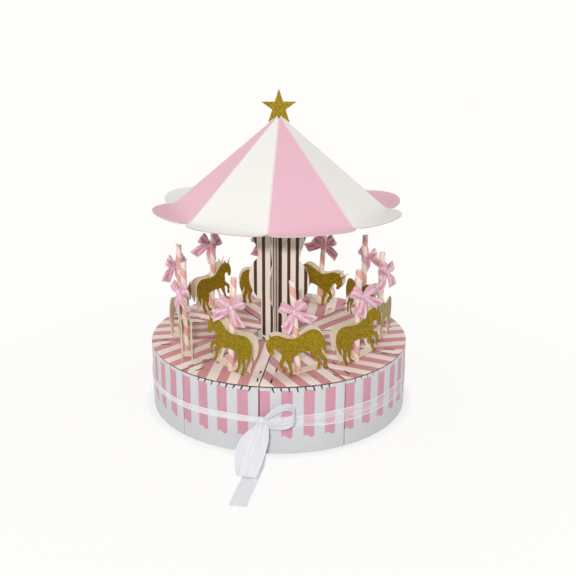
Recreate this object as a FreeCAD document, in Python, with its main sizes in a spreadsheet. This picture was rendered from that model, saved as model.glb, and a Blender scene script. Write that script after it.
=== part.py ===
import FreeCAD, Part
import math
import os

import Sketcher

Vector = FreeCAD.Vector
Placement = FreeCAD.Placement
Rotation = FreeCAD.Rotation
up = Vector(0, 0, 1)
outward = Vector(1, 0, 0)

# Driving dimensions in millimetres and degrees: alias, value, meaning.
# Azimuth 0 faces -Y, the front, and grows towards +X.
sizes = [
    ("sliceCount", 10, "boxes in the ring"),
    ("ringRadius", 135, "outside of the curved walls"),
    ("holeReach", 24, "centre of the ring to the blunt tips of the boxes"),
    ("sliceHeight", 70, "height of a closed box"),
    ("cardThickness", 1, "card of the boxes, column and canopy"),
    ("seamGap", 1.2, "gap between neighbouring boxes"),
    ("firstSeam", -8, "azimuth of the front seam"),
    ("flapDepth", 7, "tuck flap of the lid, measured down"),
    ("flapStart", 48, "inner end of the tuck flap"),
    ("flapEnd", 112, "outer end of the tuck flap"),
    ("flapClearance", 0.9, "tuck flap to the wall beside it"),
    ("strawDiameter", 6, "paper straw"),
    ("strawWall", 0.6, "rolled paper"),
    ("strawFit", 0.1, "straw to the edge of its holes, on the radius"),
    ("strawCircle", 107, "centre of the ring to a straw"),
    ("strawRise", 95, "straw above the lid"),
    ("strawDepth", 12, "straw below the top of the lid"),
    ("unicornLength", 57, "tail to horn"),
    ("unicornHeight", 46.5, "hoof to ear"),
    ("unicornGap", 9, "between the two silhouettes"),
    ("glitterCard", 0.9, "card of the unicorns and the star"),
    ("saddleWidth", 10, "saddle strip along the back"),
    ("saddleFit", 0.7, "straw to the holes in a unicorn's strips, on the radius"),
    ("bowSpan", 36, "loop end to loop end"),
    ("bowRibbon", 10, "width of the satin ribbon"),
    ("bowThickness", 0.8, "satin ribbon"),
    ("bowDepth", 8, "front to back of a loop"),
    ("bowLift", 8, "rise of the loop ends over the knot"),
    ("bowHeight", 69, "knot above the lid"),
    ("bowKnot", 5.4, "width of the knot"),
    ("tailLength", 23, "knot to the end of a bow's tail"),
    ("columnTurn", -17, "azimuth of the front fin"),
    ("footHeight", 45, "part of the column that fits the hole in the ring"),
    ("footFit", 0.3, "foot of the column to the blunt tips round it"),
    ("columnBase", 19.5, "half width over the foot"),
    ("columnLobe", 33, "half width at the lobe"),
    ("columnNeck", 21.5, "half width at the neck"),
    ("columnHead", 33, "half width under the canopy"),
    ("lobeStart", 106.5, "height where the lobe starts"),
    ("lobeMiddle", 132.5, "height of its widest point"),
    ("neckHeight", 154, "height of the neck"),
    ("headHeight", 192, "height where the head stops widening"),
    ("headTop", 290, "top of the column inside the canopy"),
    ("slotFit", 0.15, "column slot to the panel in it, each side"),
    ("canopySeat", 0.3, "column to the underside of the canopy"),
    ("canopyPanels", 8, "panels of the canopy"),
    ("canopyEave", 209.5, "height of the petals"),
    ("canopyTip", 300, "height of the blunt tip"),
    ("ridgeRadius", 110, "centre to the foot of a ridge"),
    ("tipRadius", 3.4, "centre to a corner of the tip"),
    ("petalReach", 129.3, "centre to the end of a petal"),
    ("petalNotch", 0.8, "foot of a ridge to the side of a petal"),
    ("petalLift", 3, "rise of a petal's end"),
    ("firstRidge", -5.5, "azimuth of the front ridge"),
    ("starRadius", 18.4, "centre to a point of the star"),
    ("starSeat", 0.2, "star to the tip under it"),
    ("stemWidth", 3, "stem of the star"),
    ("stemLength", 8, "stem inside the canopy"),
    ("ribbonWidth", 14, "ribbon round the ring"),
    ("ribbonThickness", 0.5, "sheer ribbon"),
    ("ribbonBottom", 27, "height of the ribbon's lower edge"),
    ("ribbonClearance", 0.4, "ribbon to what lies beside it"),
    ("ribbonKnotWidth", 15, "knot of the ribbon"),
    ("ribbonKnotHeight", 12, "knot, top to bottom"),
    ("ribbonKnotDepth", 8, "knot, front to back"),
    ("ribbonKnotRound", 2.4, "rounding of the knot"),
    ("knotTurn", -6.8, "azimuth of the knot"),
    ("tailTurn", -12, "azimuth along which the tail runs out"),
    ("tailReach", 93, "back of the knot to the end of the tail"),
    ("tailWidth", 16, "tail on the table"),
    ("loopReach", 47, "back of the knot to the end of the hanging loop"),
    ("loopWidth", 20, "hanging loop"),
    ("sideLoopReach", 34, "middle of the knot to the end of the short loop"),
    ("sideLoopDepth", 9, "short loop, front to back"),
    ("sideLoopTilt", 14, "rise of the short loop"),
    ("layFloor", 0.4, "table to the underside of the tail"),
]

# Placed by hand on each box, front middle box first and then round to the right.
strawLean = [-4, 0, 0, 0, -4, 0, -3, 0, 0, 3]
bowRise = [-3, 0, 5, 0, 1, 2, 7, 2, -5, -2]
bowTurn = [-12, 20, -30, 15, 20, -15, 25, -35, 40, 12]
bowTails = [(64, -27), (62, -4), (35, -40), (20, -75), (74, -48),
            (30, -30), (57, -10), (40, -25), (44, -18), (30, -58)]
unicornPitch = [-14, 16, 8, 0, -14, 0, 15, 0, 4, 14]
unicornYaw = [-6, -16, -12, 0, 0, 0, 0, 0, -20, -8]
headsRight = [False, True, False, False, False, False, False, False, False, False]

# The ribbon's loops and tail seen along their edge, from inside the knot and outwards.
# The first two are shares of the reach and of the knot's height, the third of its reach and depth.
tailPath = [(0.02, 1), (0.03, 0.6), (0.055, 0.25), (0.11, 0.05), (0.18, 0), (0.23, 0), (0.3, 0),
            (0.6, 0), (1, 0)]
frontLoopPath = [(0.08, 0.92), (0.3, 0.88), (0.58, 0.6), (0.86, 0.25), (1, 0.08), (0.96, 0), (0.88, 0),
                 (0.75, 0), (0.5, 0), (0.26, 0.08), (0.16, 0.32), (0.11, 0.9)]
sideLoopPath = [(0, 0.5), (0.4, 0.95), (0.76, 1), (0.95, 0.75), (1, 0.45), (0.88, 0.18), (0.6, 0.12),
                (0, 0.3)]

# Where a bow's loop is deepest, as a share of its length, and where loops and tails start in its knot.
loopBelly = 0.6
loopRoot = 0.33
tailRoot = 0.25

# The slanting cut of a bow's tail as a share of half its width, and the part of the straw's drift across
# a rocked unicorn that the saddle's hole takes, the rest being the feet strip's.
tailSlant = 0.8
saddleShare = 0.35

# The unicorn's outline is drawn at this size, and then stretched to the sheet's.
drawnLength = 57
drawnHeight = 46.5
drawnSaddle = 36.4
drawnForehoof = 12.5
drawnHindhoof = -16.5

doc = FreeCAD.newDocument("CarouselFavourBoxes")
sheet = doc.addObject("Spreadsheet::Sheet", "Sizes")
for row, (alias, value, meaning) in enumerate(sizes, start=1):
    sheet.set(f"A{row}", meaning)
    sheet.set(f"B{row}", str(value))
    sheet.setAlias(f"B{row}", alias)
doc.recompute()

pieces = []


def size(alias):
    return float(sheet.get(alias))


def worth(expression):
    return float(sheet.evalExpression(expression))


def new_body(label):
    body = doc.addObject("PartDesign::Body", label)
    body.AllowCompound = True
    pieces.append(body)
    return body


def new_sketch(body, name, plane="XY_Plane", lift=None, turn=0):
    sketch = body.newObject("Sketcher::SketchObject", name)
    origin = [item for item in body.Origin.OriginFeatures if item.Role == plane]
    sketch.AttachmentSupport = (origin[0], "")
    sketch.MapMode = "FlatFace"
    sketch.AttachmentOffset = Placement(Vector(), Rotation(up, turn))
    if lift:
        sketch.setExpression("AttachmentOffset.Base.z", lift)
    return sketch


def bind(sketch, name, expression, kind, *where):
    index = sketch.addConstraint(Sketcher.Constraint(kind, *where, worth(expression)))
    sketch.renameConstraint(index, name)
    sketch.setExpression("Constraints." + name, expression)


def bind_angle(sketch, name, expression, line):
    value = math.radians(worth(expression))
    index = sketch.addConstraint(Sketcher.Constraint("Angle", line, value))
    sketch.renameConstraint(index, name)
    sketch.setExpression("Constraints." + name, expression)


def pad(body, sketch, length, both_sides=False, downward=False):
    feature = body.newObject("PartDesign::Pad", sketch.Name + "_pad")
    feature.Profile = sketch
    feature.setExpression("Length", length)
    feature.Midplane = both_sides
    feature.Reversed = downward
    body.Tip = feature
    return feature


def pocket(body, sketch, length, both_sides=False):
    feature = body.newObject("PartDesign::Pocket", sketch.Name + "_pocket")
    feature.Profile = sketch
    feature.setExpression("Length", length)
    feature.Midplane = both_sides
    body.Tip = feature
    return feature


def draw_circle(sketch, name, radius, centre=(0, 0)):
    circle = sketch.addGeometry(Part.Circle(Vector(*centre), up, worth(radius)))
    bind(sketch, name, radius, "Radius", circle)


def draw_loop(sketch, runs):
    # Each run starts where the last one ends: two points make a line, three an arc, more a spline.
    for run in runs:
        points = [Vector(x, y) for x, y in run]
        if len(points) == 2:
            sketch.addGeometry(Part.LineSegment(*points))
        elif len(points) == 3:
            sketch.addGeometry(Part.Arc(*points))
        else:
            curve = Part.BSplineCurve()
            curve.interpolate(points)
            sketch.addGeometry(curve)


def draw_polygon(sketch, points):
    draw_loop(sketch, list(zip(points, points[1:] + points[:1])))


def draw_box(sketch, left, right, bottom, top):
    draw_polygon(sketch, [(left, bottom), (right, bottom), (right, top), (left, top)])


def ring_place(azimuth, radius=0, height=0):
    turn = Rotation(up, azimuth - 90)
    return Placement(turn.multVec(Vector(radius, 0, height)), turn)


def ring_axes(azimuth):
    turn = ring_place(azimuth).Rotation
    return turn.multVec(outward), turn.multVec(Vector(0, 1, 0))


def slice_azimuth(index):
    return size("firstSeam") + (index + 0.5) * 360 / size("sliceCount")


def draw_wedge(sketch, inset, rim, tip):
    # A cake slice about the X axis: two straight sides, a curved rim and a blunt tip.
    half = 180 / size("sliceCount")
    cosine, sine = math.cos(math.radians(half)), math.sin(math.radians(half))
    side, outer, inner = worth(inset), worth(rim), worth(tip)
    near = (inner - side * sine) / cosine
    far = math.sqrt(outer ** 2 - side ** 2)
    tip_y, tip_x = near * sine - side * cosine, inner
    rim_x, rim_y = far * cosine + side * sine, far * sine - side * cosine
    lower = sketch.addGeometry(Part.LineSegment(Vector(tip_x, -tip_y), Vector(rim_x, -rim_y)))
    sweep = math.atan2(rim_y, rim_x)
    curve = sketch.addGeometry(Part.ArcOfCircle(Part.Circle(Vector(), up, outer), -sweep, sweep))
    upper = sketch.addGeometry(Part.LineSegment(Vector(tip_x, tip_y), Vector(rim_x, rim_y)))
    blunt = sketch.addGeometry(Part.LineSegment(Vector(tip_x, tip_y), Vector(tip_x, -tip_y)))
    for first, first_end, second, second_end in (
            (lower, 2, curve, 1), (curve, 2, upper, 2), (upper, 1, blunt, 1), (blunt, 2, lower, 1),
            (curve, 3, -1, 1)):
        sketch.addConstraint(Sketcher.Constraint("Coincident", first, first_end, second, second_end))
    sketch.addConstraint(Sketcher.Constraint("Vertical", blunt))
    bind(sketch, "rim", rim, "Radius", curve)
    bind(sketch, "tip", tip, "DistanceX", -1, 1, blunt, 1)
    bind(sketch, "upperInset", inset, "Distance", -1, 1, upper)
    bind(sketch, "lowerInset", inset, "Distance", -1, 1, lower)
    bind_angle(sketch, "upperAngle", "180 / Sizes.sliceCount", upper)
    bind_angle(sketch, "lowerAngle", "-180 / Sizes.sliceCount", lower)


def make_tray(index, label):
    body = new_body(label)
    outline = new_sketch(body, label + "_outline")
    draw_wedge(outline, "Sizes.seamGap / 2", "Sizes.ringRadius", "Sizes.holeReach")
    pad(body, outline, "Sizes.sliceHeight - Sizes.cardThickness")
    inside = new_sketch(body, label + "_inside", lift="Sizes.sliceHeight - Sizes.cardThickness")
    draw_wedge(inside, "Sizes.seamGap / 2 + Sizes.cardThickness",
               "Sizes.ringRadius - Sizes.cardThickness", "Sizes.holeReach + Sizes.cardThickness")
    pocket(body, inside, "Sizes.sliceHeight - 2 * Sizes.cardThickness")
    body.Placement = ring_place(slice_azimuth(index))


def make_lid(index, label):
    body = new_body(label)
    panel = new_sketch(body, label + "_panel", lift="Sizes.sliceHeight - Sizes.cardThickness")
    draw_wedge(panel, "Sizes.seamGap / 2", "Sizes.ringRadius", "Sizes.holeReach")
    pad(body, panel, "Sizes.cardThickness")
    flap = new_sketch(body, label + "_flap", lift="Sizes.sliceHeight - Sizes.cardThickness",
                      turn=-180 / size("sliceCount"))
    wall_side = size("seamGap") / 2 + size("cardThickness") + size("flapClearance")
    draw_box(flap, size("flapStart"), size("flapEnd"), wall_side, wall_side + size("cardThickness"))
    pad(body, flap, "Sizes.flapDepth", downward=True)
    hole = new_sketch(body, label + "_hole", lift="Sizes.sliceHeight")
    draw_circle(hole, "hole", "Sizes.strawDiameter / 2 + 2 * Sizes.strawFit", (size("strawCircle"), 0))
    pocket(body, hole, "2 * Sizes.cardThickness")
    body.Placement = ring_place(slice_azimuth(index))


def unicorn_outline(heading):
    # The head is at +x before the heading turns it.
    stretch = heading * size("unicornLength") / drawnLength
    rise = size("unicornHeight") / drawnHeight
    runs = [
        [(24.0, 40.8), (29.2, 45.4)],                                       # horn
        [(29.2, 45.4), (25.8, 39.2)],
        [(25.8, 39.2), (27.2, 35.0), (26.8, 30.0), (25.2, 26.4)],           # nose
        [(25.2, 26.4), (23.2, 25.2), (21.4, 27.0)],                         # muzzle
        [(21.4, 27.0), (20.6, 30.4), (18.2, 31.2), (16.2, 27.6), (14.8, 22.4)],   # jaw and chest
        [(14.8, 22.4), (17.2, 19.0), (19.6, 14.6), (17.4, 9.0)],            # raised foreleg
        [(17.4, 9.0), (18.6, 6.0)],
        [(18.6, 6.0), (15.2, 5.2)],
        [(15.2, 5.2), (15.0, 9.0), (16.0, 13.4), (12.6, 16.8)],
        [(12.6, 16.8), (11.8, 11.0), (11.6, 6.0), (12.8, 2.0)],             # standing foreleg
        [(12.8, 2.0), (14.4, 0)],
        [(14.4, 0), (9.4, 0)],
        [(9.4, 0), (9.2, 4.0), (8.4, 10.0), (6.6, 17.4)],
        [(6.6, 17.4), (0.0, 19.4), (-7.0, 20.6), (-11.2, 20.0)],            # belly
        [(-11.2, 20.0), (-12.4, 15.0), (-15.4, 9.6), (-14.4, 2.0)],         # near hind leg
        [(-14.4, 2.0), (-12.8, 0)],
        [(-12.8, 0), (-17.8, 0)],
        [(-17.8, 0), (-17.9, 4.0), (-18.8, 9.4), (-17.0, 14.0)],
        [(-17.0, 14.0), (-21.0, 9.4), (-21.4, 5.0), (-20.4, 0)],            # far hind leg
        [(-20.4, 0), (-25.0, 0)],
        [(-25.0, 0), (-24.6, 4.0), (-25.0, 10.0), (-22.8, 16.4), (-23.6, 21.0)],
        [(-23.6, 21.0), (-25.0, 17.0), (-26.4, 14.0)],                      # tail
        [(-26.4, 14.0), (-28.0, 21.0), (-27.8, 30.0), (-25.4, 36.8)],
        [(-25.4, 36.8), (-18.4, 41.0), (-8.0, 38.4), (0.6, 36.6), (5.0, 37.8), (13.6, 43.2), (19.6, 43.8)],
        [(19.6, 43.8), (21.6, 46.5)],                                       # ear
        [(21.6, 46.5), (22.2, 42.8)],
        [(22.2, 42.8), (24.0, 40.8)],
    ]
    return [[(x * stretch, y * rise) for x, y in run] for run in runs]


def make_unicorn(index, label):
    body = new_body(label)
    heading = 1 if headsRight[index] else -1
    stretch = heading * size("unicornLength") / drawnLength
    saddle_height = drawnSaddle * size("unicornHeight") / drawnHeight
    # The figure rocks on its straw, so the straw crosses it aslant, through the saddle and the feet strip.
    rock = heading * unicornPitch[index]
    drift = saddle_height * math.tan(math.radians(strawLean[index] + rock))
    saddle_shift = saddleShare * drift
    foot_shift = saddle_shift - drift
    hoofs = sorted([drawnForehoof * stretch, drawnHindhoof * stretch])
    half_gap = size("unicornGap") / 2
    half_saddle = size("saddleWidth") / 2

    def silhouette(name, offset):
        sketch = new_sketch(body, label + name, "YZ_Plane", lift=offset)
        draw_loop(sketch, unicorn_outline(heading))
        pad(body, sketch, "Sizes.glitterCard")

    def strip(name, height, start, stop, hole_shift):
        sketch = new_sketch(body, label + name)
        sketch.AttachmentOffset = Placement(Vector(0, 0, height), Rotation())
        draw_box(sketch, -half_gap, half_gap, start, stop)
        draw_circle(sketch, "hole", "Sizes.strawDiameter / 2 + Sizes.saddleFit", (0, hole_shift))
        pad(body, sketch, "Sizes.glitterCard")

    silhouette("_outer", "Sizes.unicornGap / 2")
    strip("_feet", 0, hoofs[0], hoofs[1], foot_shift)
    strip("_saddle", saddle_height - size("glitterCard"), saddle_shift - half_saddle,
          saddle_shift + half_saddle, saddle_shift)
    silhouette("_inner", "-Sizes.unicornGap / 2 - Sizes.glitterCard")

    # The lowest hoof stands on the lid, and the straw's line runs through both holes.
    rocked = Rotation(outward, rock)
    ends = [point for run in unicorn_outline(heading) for point in run]
    lift = -min(rocked.multVec(Vector(0, y, z)).z for y, z in ends)
    crossing = rocked.multVec(Vector(0, foot_shift, 0))
    shift = (crossing.z + lift) * math.tan(math.radians(strawLean[index])) - crossing.y
    on_lid = ring_place(slice_azimuth(index), size("strawCircle"), size("sliceHeight"))
    yaw = Placement(Vector(), Rotation(up, unicornYaw[index]))
    body.Placement = on_lid.multiply(yaw).multiply(Placement(Vector(0, shift, lift), rocked))


def straw_place(index):
    lean = Placement(Vector(), Rotation(outward, -strawLean[index]))
    return ring_place(slice_azimuth(index), size("strawCircle"), size("sliceHeight")).multiply(lean)


def make_straw(index, label):
    outside = doc.addObject("Part::Cylinder", label + "_outside")
    outside.setExpression("Radius", "Sizes.strawDiameter / 2")
    bore = doc.addObject("Part::Cylinder", label + "_bore")
    bore.setExpression("Radius", "Sizes.strawDiameter / 2 - Sizes.strawWall")
    for cylinder in (outside, bore):
        cylinder.setExpression("Height", "Sizes.strawRise + Sizes.strawDepth")
        cylinder.setExpression("Placement.Base.z", "-Sizes.strawDepth")
    straw = doc.addObject("Part::Cut", label)
    straw.Base = outside
    straw.Tool = bore
    straw.Placement = straw_place(index)
    pieces.append(straw)


def make_bow(index, label):
    # The straw runs up the Z axis, and the bow faces +X.
    body = new_body(label)
    half_span = size("bowSpan") / 2
    ribbon = size("bowThickness")
    half_depth = size("bowDepth") / 2
    half_width = size("bowRibbon") / 2
    half_knot = size("bowKnot") / 2
    face = size("strawDiameter") / 2 + half_knot
    lift = size("bowLift")

    loops = new_sketch(body, label + "_loops")
    for side in (1, -1):
        for gap in (0, ribbon):
            root = Vector(face, side * (loopRoot * half_knot + 2 * gap))
            end = Vector(face, side * (half_span - gap))
            for bulge in (half_depth - gap, gap - half_depth):
                belly = Vector(face + bulge, loopBelly * end.y)
                loops.addGeometry(Part.Arc(root, belly, end))
    pad(body, loops, "2 * Sizes.bowSpan", both_sides=True)

    trim = new_sketch(body, label + "_trim", "YZ_Plane")
    frame = 2 * half_span
    draw_box(trim, -2 * frame, 2 * frame, -2 * frame, 2 * frame)
    draw_polygon(trim, [
        (-half_span, lift - half_width), (-half_knot, -half_knot), (half_knot, -half_knot),
        (half_span, lift - half_width), (half_span + ribbon, lift + half_width), (half_knot, half_knot),
        (-half_knot, half_knot), (-half_span - ribbon, lift + half_width)])
    pocket(body, trim, "2 * Sizes.bowSpan", both_sides=True)

    knot = new_sketch(body, label + "_knot")
    draw_circle(knot, "knot", "Sizes.bowKnot / 2", (face, 0))
    pad(body, knot, "Sizes.bowKnot + Sizes.bowThickness", both_sides=True)
    collar = new_sketch(body, label + "_collar")
    draw_circle(collar, "collar", "Sizes.strawDiameter / 2 + Sizes.strawFit + Sizes.bowThickness")
    pad(body, collar, "Sizes.bowKnot", both_sides=True)

    front = "Sizes.strawDiameter / 2 + Sizes.bowKnot / 2"
    behind = front + " - Sizes.bowThickness"
    for name, depth, degrees in zip(("_tail", "_tail_behind"), (front, behind), bowTails[index]):
        lean = math.radians(degrees)
        along = Vector(math.sin(lean), -math.cos(lean))
        across = Vector(math.cos(lean), math.sin(lean)) * half_width
        start = along * (2 * tailRoot * half_knot)
        end = along * size("tailLength")
        slant = along * (tailSlant * half_width)
        corners = [start - across * tailRoot, end - across - slant, end + across, start + across * tailRoot]
        tail = new_sketch(body, label + name, "YZ_Plane", lift=depth)
        draw_polygon(tail, [(point.x, point.y) for point in corners])
        pad(body, tail, "Sizes.bowThickness")

    bore = new_sketch(body, label + "_bore")
    draw_circle(bore, "bore", "Sizes.strawDiameter / 2 + Sizes.strawFit")
    pocket(body, bore, "2 * Sizes.bowSpan", both_sides=True)
    raise_turn = Placement(Vector(0, 0, size("bowHeight") + bowRise[index]), Rotation(up, bowTurn[index]))
    body.Placement = straw_place(index).multiply(raise_turn)


def make_column_panel(label, turn, slot_from_top):
    body = new_body(label)
    slope = canopy_slope()
    seat = canopy_inside(0) - size("canopySeat")
    shoulder = (seat - size("headTop")) / slope
    foot = size("holeReach") - size("footFit")
    base = size("columnBase")
    head = size("columnHead")
    right = [
        [(0, 0), (foot, 0)],
        [(foot, 0), (foot, size("footHeight"))],
        [(foot, size("footHeight")), (base, size("footHeight") + foot - base)],
        [(base, size("footHeight") + foot - base), (base, size("lobeStart"))],
        [(base, size("lobeStart")), (size("columnLobe"), size("lobeMiddle")),
         (size("columnNeck"), size("neckHeight"))],
        [(size("columnNeck"), size("neckHeight")), (head, size("headHeight"))],
        [(head, size("headHeight")), (head, seat - head * slope)],
        [(head, seat - head * slope), (shoulder, size("headTop"))],
        [(shoulder, size("headTop")), (0, size("headTop"))],
    ]
    left = [[(-x, y) for x, y in run] for run in right]
    outline = new_sketch(body, label + "_outline", "XZ_Plane")
    draw_loop(outline, right + left)
    pad(body, outline, "Sizes.cardThickness", both_sides=True)
    slot = new_sketch(body, label + "_slot", "XZ_Plane")
    half_slot = size("cardThickness") / 2 + size("slotFit")
    middle = size("headTop") / 2
    if slot_from_top:
        draw_box(slot, -half_slot, half_slot, middle - size("slotFit"), size("headTop"))
    else:
        draw_box(slot, -half_slot, half_slot, 0, middle + size("slotFit"))
    pocket(body, slot, "2 * Sizes.cardThickness", both_sides=True)
    body.Placement = ring_place(turn)


def canopy_slope():
    shrink = math.cos(math.pi / size("canopyPanels"))
    return (size("canopyTip") - size("canopyEave")) / (shrink * (size("ridgeRadius") - size("tipRadius")))


def canopy_inside(distance):
    # Height of the underside of the panels at a distance from the axis, square to a panel.
    shrink = math.cos(math.pi / size("canopyPanels"))
    thickness = size("cardThickness") * math.sqrt(1 + canopy_slope() ** 2)
    return size("canopyTip") + canopy_slope() * (size("tipRadius") * shrink - distance) - thickness


def octagon_sketch(body, name, radius, height):
    sketch = new_sketch(body, name, lift=height)
    count = int(size("canopyPanels"))
    reach = worth(radius)
    corners = [(reach * math.cos(2 * math.pi * step / count), reach * math.sin(2 * math.pi * step / count))
               for step in range(count)]
    circle = sketch.addGeometry(Part.Circle(Vector(), up, reach), True)
    sketch.addConstraint(Sketcher.Constraint("Coincident", circle, 3, -1, 1))
    bind(sketch, "corners", radius, "Radius", circle)
    first = circle + 1
    draw_polygon(sketch, corners)
    for step in range(count):
        following = first + (step + 1) % count
        sketch.addConstraint(Sketcher.Constraint("Coincident", first + step, 2, following, 1))
        sketch.addConstraint(Sketcher.Constraint("PointOnObject", first + step, 1, circle))
        if step:
            sketch.addConstraint(Sketcher.Constraint("Equal", first, first + step))
    sketch.addConstraint(Sketcher.Constraint("PointOnObject", first, 1, -1))
    return sketch


def make_canopy(label):
    body = new_body(label)
    shrink = math.cos(math.pi / size("canopyPanels"))
    slope = canopy_slope()
    inward = size("cardThickness") * math.sqrt(1 + 1 / slope ** 2) / shrink
    outside = body.newObject("PartDesign::AdditiveLoft", label + "_panels")
    outside.Profile = octagon_sketch(body, label + "_eave", "Sizes.ridgeRadius", "Sizes.canopyEave")
    outside.Sections = [octagon_sketch(body, label + "_tip", "Sizes.tipRadius", "Sizes.canopyTip")]
    outside.Ruled = True
    body.Tip = outside
    hollow = body.newObject("PartDesign::SubtractiveLoft", label + "_hollow")
    inner_eave = f"Sizes.ridgeRadius - {inward}"
    inner_tip = f"Sizes.tipRadius - {inward}"
    hollow.Profile = octagon_sketch(body, label + "_inner_eave", inner_eave, "Sizes.canopyEave")
    hollow.Sections = [octagon_sketch(body, label + "_inner_tip", inner_tip, "Sizes.canopyTip")]
    hollow.Ruled = True
    body.Tip = hollow

    # A petal rises from the crease, and is rooted in the panel's own thickness on both sides of it.
    side = size("ridgeRadius") * math.sin(math.pi / size("canopyPanels")) - size("petalNotch")
    crease = size("ridgeRadius") * shrink
    reach = size("petalReach") - crease
    root = -(size("cardThickness") / slope + inward * shrink) / 2
    petal = new_sketch(body, label + "_petal")
    between = Rotation(up, 180 / size("canopyPanels"))
    upturn = Rotation(Vector(0, -1, 0), math.degrees(math.atan2(size("petalLift"), reach)))
    on_crease = between.multVec(Vector(crease, 0, size("canopyEave")))
    petal.AttachmentOffset = Placement(on_crease, between.multiply(upturn))
    draw_loop(petal, [
        [(root, inward - side), (0, -side)],
        [(0, -side), (math.hypot(reach, size("petalLift")), 0), (0, side)],
        [(0, side), (root, side - inward)],
        [(root, side - inward), (root, inward - side)],
    ])
    flare = pad(body, petal, "Sizes.cardThickness")
    petals = body.newObject("PartDesign::PolarPattern", label + "_petals")
    petals.Originals = [flare]
    axis = [item for item in body.Origin.OriginFeatures if item.Role == "Z_Axis"]
    petals.Axis = (axis[0], [""])
    petals.Angle = 360
    petals.setExpression("Occurrences", "Sizes.canopyPanels")
    body.Tip = petals
    body.Placement = ring_place(size("firstRidge"))


def make_star(label):
    body = new_body(label)
    waist = size("starRadius") * math.sin(math.radians(18)) / math.sin(math.radians(126))
    flank = math.tan(math.radians(36))
    crotch = size("canopyTip") + size("starSeat") + size("tipRadius") * flank
    half_stem = size("stemWidth") / 2
    stem_top = crotch - half_stem * flank
    stem_foot = size("canopyTip") - size("stemLength")
    outline = [(-half_stem, stem_top), (-half_stem, stem_foot), (half_stem, stem_foot), (half_stem, stem_top)]
    for step in range(1, 10):
        reach = size("starRadius") if step % 2 else waist
        angle = math.radians(-90 + 36 * step)
        outline.append((reach * math.cos(angle), crotch + waist + reach * math.sin(angle)))
    sketch = new_sketch(body, label + "_outline", "XZ_Plane")
    draw_polygon(sketch, outline)
    pad(body, sketch, "Sizes.glitterCard", both_sides=True)


def strip_shape(points, thickness, width):
    # A ribbon seen from the side along its path, given its thickness and then its width.
    path = Part.BSplineCurve()
    path.interpolate([Vector(x, -width / 2, z) for x, z in points])
    steps = 2 * len(points)
    spots = [path.FirstParameter + (path.LastParameter - path.FirstParameter) * step / steps
             for step in range(steps + 1)]
    faces = []
    for side in (0.5, -0.5):
        edge_points = []
        for spot in spots:
            along = path.tangent(spot)[0]
            edge_points.append(path.value(spot) + Vector(-along.z, 0, along.x) * (side * thickness))
        curve = Part.BSplineCurve()
        curve.interpolate(edge_points)
        faces.append(curve)
    top, under = faces
    far_end = Part.LineSegment(top.EndPoint, under.EndPoint)
    near_end = Part.LineSegment(under.StartPoint, top.StartPoint)
    under.reverse()
    outline = Part.Wire([item.toShape() for item in (top, far_end, under, near_end)])
    return Part.Face(outline).extrude(Vector(0, width, 0))


def make_ribbon():
    band = new_body("ribbon_band")
    ring = new_sketch(band, "ribbon_band_ring", lift="Sizes.ribbonBottom")
    draw_circle(ring, "inside", "Sizes.ringRadius + Sizes.ribbonClearance")
    draw_circle(ring, "outside", "Sizes.ringRadius + Sizes.ribbonClearance + Sizes.ribbonThickness")
    pad(band, ring, "Sizes.ribbonWidth")

    # The knot stands on the band, turned so that its front faces along the tail.
    clear = size("ribbonClearance")
    thickness = size("ribbonThickness")
    turn = math.radians(abs(size("tailTurn") - size("knotTurn")))
    face = size("ringRadius") + thickness + 2 * clear + size("ribbonKnotWidth") / 2 * math.sin(turn)
    middle = size("ribbonBottom") + size("ribbonWidth") / 2
    run_out = Placement(ring_axes(size("knotTurn"))[0] * face, ring_place(size("tailTurn")).Rotation)
    on_knot = run_out.multiply(Placement(up * middle, Rotation()))
    depth, width, height = size("ribbonKnotDepth"), size("ribbonKnotWidth"), size("ribbonKnotHeight")
    knot = new_body("ribbon_knot")
    block = new_sketch(knot, "ribbon_knot_block")
    draw_box(block, 0, depth, -width / 2, width / 2)
    raised = pad(knot, block, "Sizes.ribbonKnotHeight", both_sides=True)
    doc.recompute()
    soften = knot.newObject("PartDesign::Fillet", "ribbon_knot_round")
    soften.Base = (raised, [f"Edge{number + 1}" for number in range(len(raised.Shape.Edges))])
    soften.setExpression("Radius", "Sizes.ribbonKnotRound")
    knot.Tip = soften
    knot.Placement = on_knot

    def add_strip(label, path, strip_width, place):
        # Every end that leaves the knot is trimmed to the same clearance from it.
        strip = strip_shape(path, thickness, strip_width)
        strip.Placement = place
        span = max(width, strip_width)
        keep_out = Part.makeBox(depth + 2 * clear, span + 2 * clear, height + 2 * clear,
                                Vector(-clear, -span / 2 - clear, -height / 2 - clear))
        keep_out.Placement = on_knot
        trimmed = strip.cut(keep_out)
        outer = max(trimmed.Solids, key=lambda solid: solid.Volume)
        piece = doc.addObject("Part::Feature", label)
        piece.Shape = outer
        pieces.append(piece)

    lay = size("layFloor") + thickness / 2
    reach = size("tailReach")
    tail_path = [(x * reach, lay + z * (middle - lay)) for x, z in tailPath]
    add_strip("ribbon_tail", tail_path, size("tailWidth"), run_out)

    reach = size("loopReach")
    over = lay + thickness + clear
    loop_path = [(x * reach, over + z * (middle - over)) for x, z in frontLoopPath]
    add_strip("ribbon_loop_front", loop_path, size("loopWidth"), run_out)

    # The short loop stands out to the right of the knot with the ribbon on edge.
    radial, tangent = ring_axes(size("tailTurn"))
    on_edge = Placement(on_knot.Base, Rotation(tangent, up, radial, "XYZ"))
    tilt = Placement(Vector(), Rotation(up, size("sideLoopTilt")))
    side_path = [(x * size("sideLoopReach"), z * size("sideLoopDepth")) for x, z in sideLoopPath]
    add_strip("ribbon_loop_side", side_path, size("ribbonWidth"), on_edge.multiply(tilt))


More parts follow.
